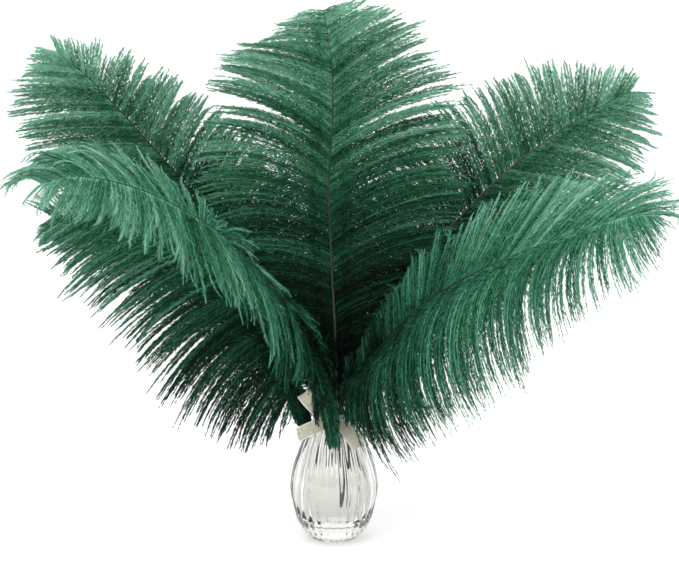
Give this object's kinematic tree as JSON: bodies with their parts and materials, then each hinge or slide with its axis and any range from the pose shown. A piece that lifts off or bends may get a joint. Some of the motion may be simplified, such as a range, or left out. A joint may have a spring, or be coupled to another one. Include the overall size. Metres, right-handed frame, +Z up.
{
  "type": "ostrich plume arrangement in a bud vase",
  "caption": "Dyed ostrich plumes fanned out of a small clear ribbed glass bud vase, with a satin ribbon bow tied round its neck.",
  "frame": {"origin": "centre of the vase's flat base, on the floor", "axes": "+Z up along the vase's axis, -Y towards the viewer, +X to the viewer's right"},
  "size_m": [0.5078, 0.233, 0.4212],
  "materials": {
    "vase": "clear, fire polished",
    "ribbon_bow": "champagne satin",
    "plume_centre": "soft dyed barbs",
    "plume_left_high": "soft dyed barbs",
    "plume_right_high": "soft dyed barbs",
    "plume_left_low": "soft dyed barbs",
    "plume_left_front": "soft dyed barbs, lit",
    "plume_right_front": "soft dyed barbs, lit"
  },
  "bodies": {
    "root": {"vase": "vase", "ribbon_bow": "ribbon_bow", "plume_centre": "plume_centre", "plume_left_high": "plume_left_high", "plume_right_high": "plume_right_high", "plume_left_low": "plume_left_low", "plume_left_front": "plume_left_front", "plume_right_front": "plume_right_front"}
  },
  "joints": []
}
